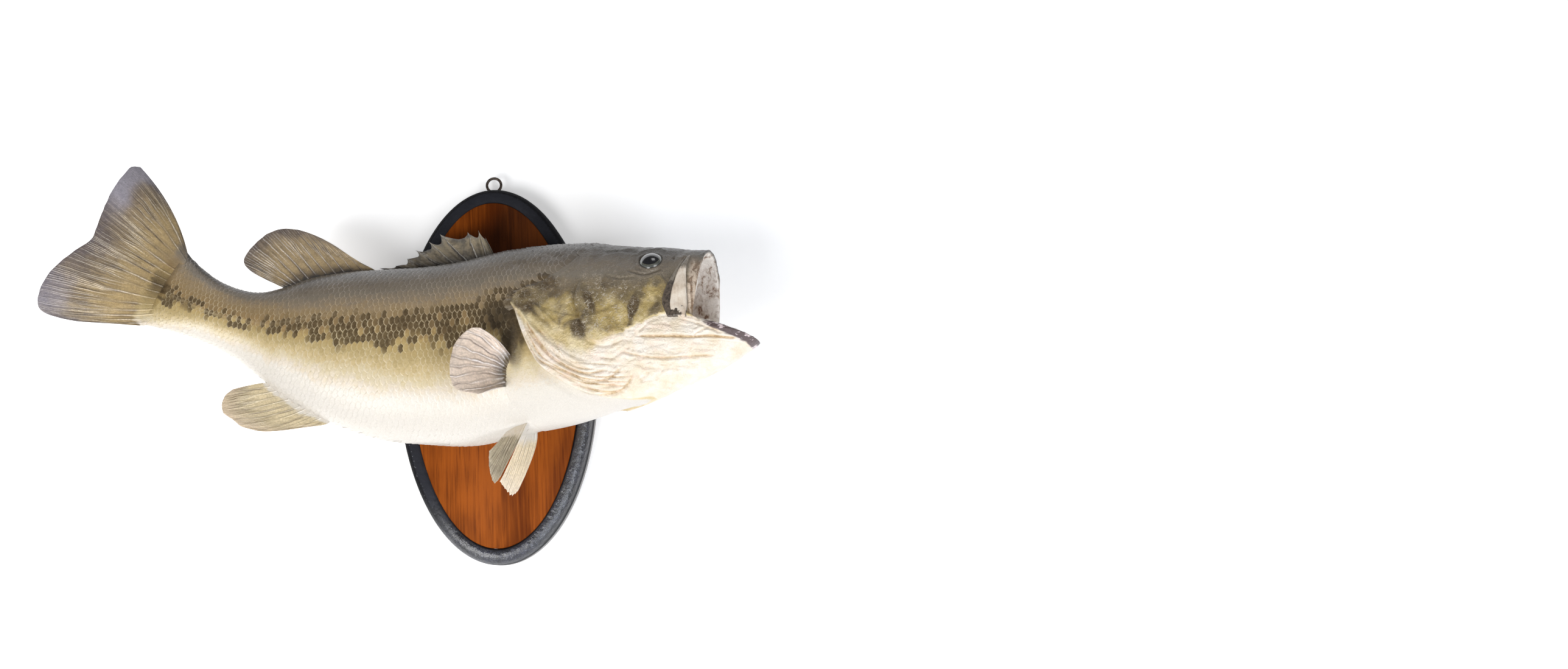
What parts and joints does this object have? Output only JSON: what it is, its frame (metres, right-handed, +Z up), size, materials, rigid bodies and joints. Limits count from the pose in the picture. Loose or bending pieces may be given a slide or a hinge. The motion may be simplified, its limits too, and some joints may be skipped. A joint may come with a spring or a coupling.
{
  "type": "mounted largemouth bass",
  "caption": "Life-size largemouth bass skin mount, mouth open and fins spread, bowed on an oval wooden wall board with a moulded black rim and a hanging ring.",
  "frame": {"origin": "centre of the board's flat back face, where it meets the wall", "axes": "+Z up, +X towards the fish's head, +Y into the wall, so that the fish stands out towards -Y"},
  "size_m": [0.5346, 0.1432, 0.3167],
  "materials": {
    "board_wood": "orange-brown varnished wood, satin",
    "rim_paint": "black lacquer on wood, satin, worn along its edges",
    "ring_bronze": "dark aged bronze wire",
    "fish_skin": "preserved and painted fish skin under clear gloss",
    "jaw_bone": "painted jaw bone under clear gloss",
    "fin_membrane": "dried fin rays and membrane under clear gloss",
    "eye_glass": "painted glass eye, high gloss"
  },
  "bodies": {
    "root": {"board_panel": "board_wood", "board_rim": "rim_paint", "hanging_ring": "ring_bronze", "trunk": "fish_skin", "tail_stem": "fish_skin", "head": "fish_skin", "lower_jaw": "fish_skin", "gill_cover_right": "fish_skin", "gill_cover_left": "fish_skin", "maxilla_right": "jaw_bone", "maxilla_left": "jaw_bone", "eye_right": "eye_glass", "eye_left": "eye_glass", "spiny_dorsal_fin": "fin_membrane", "soft_dorsal_fin": "fin_membrane", "tail_fin": "fin_membrane", "anal_fin": "fin_membrane", "pectoral_fin_right": "fin_membrane", "pectoral_fin_left": "fin_membrane", "pelvic_fin_right": "fin_membrane", "pelvic_fin_left": "fin_membrane"}
  },
  "joints": []
}
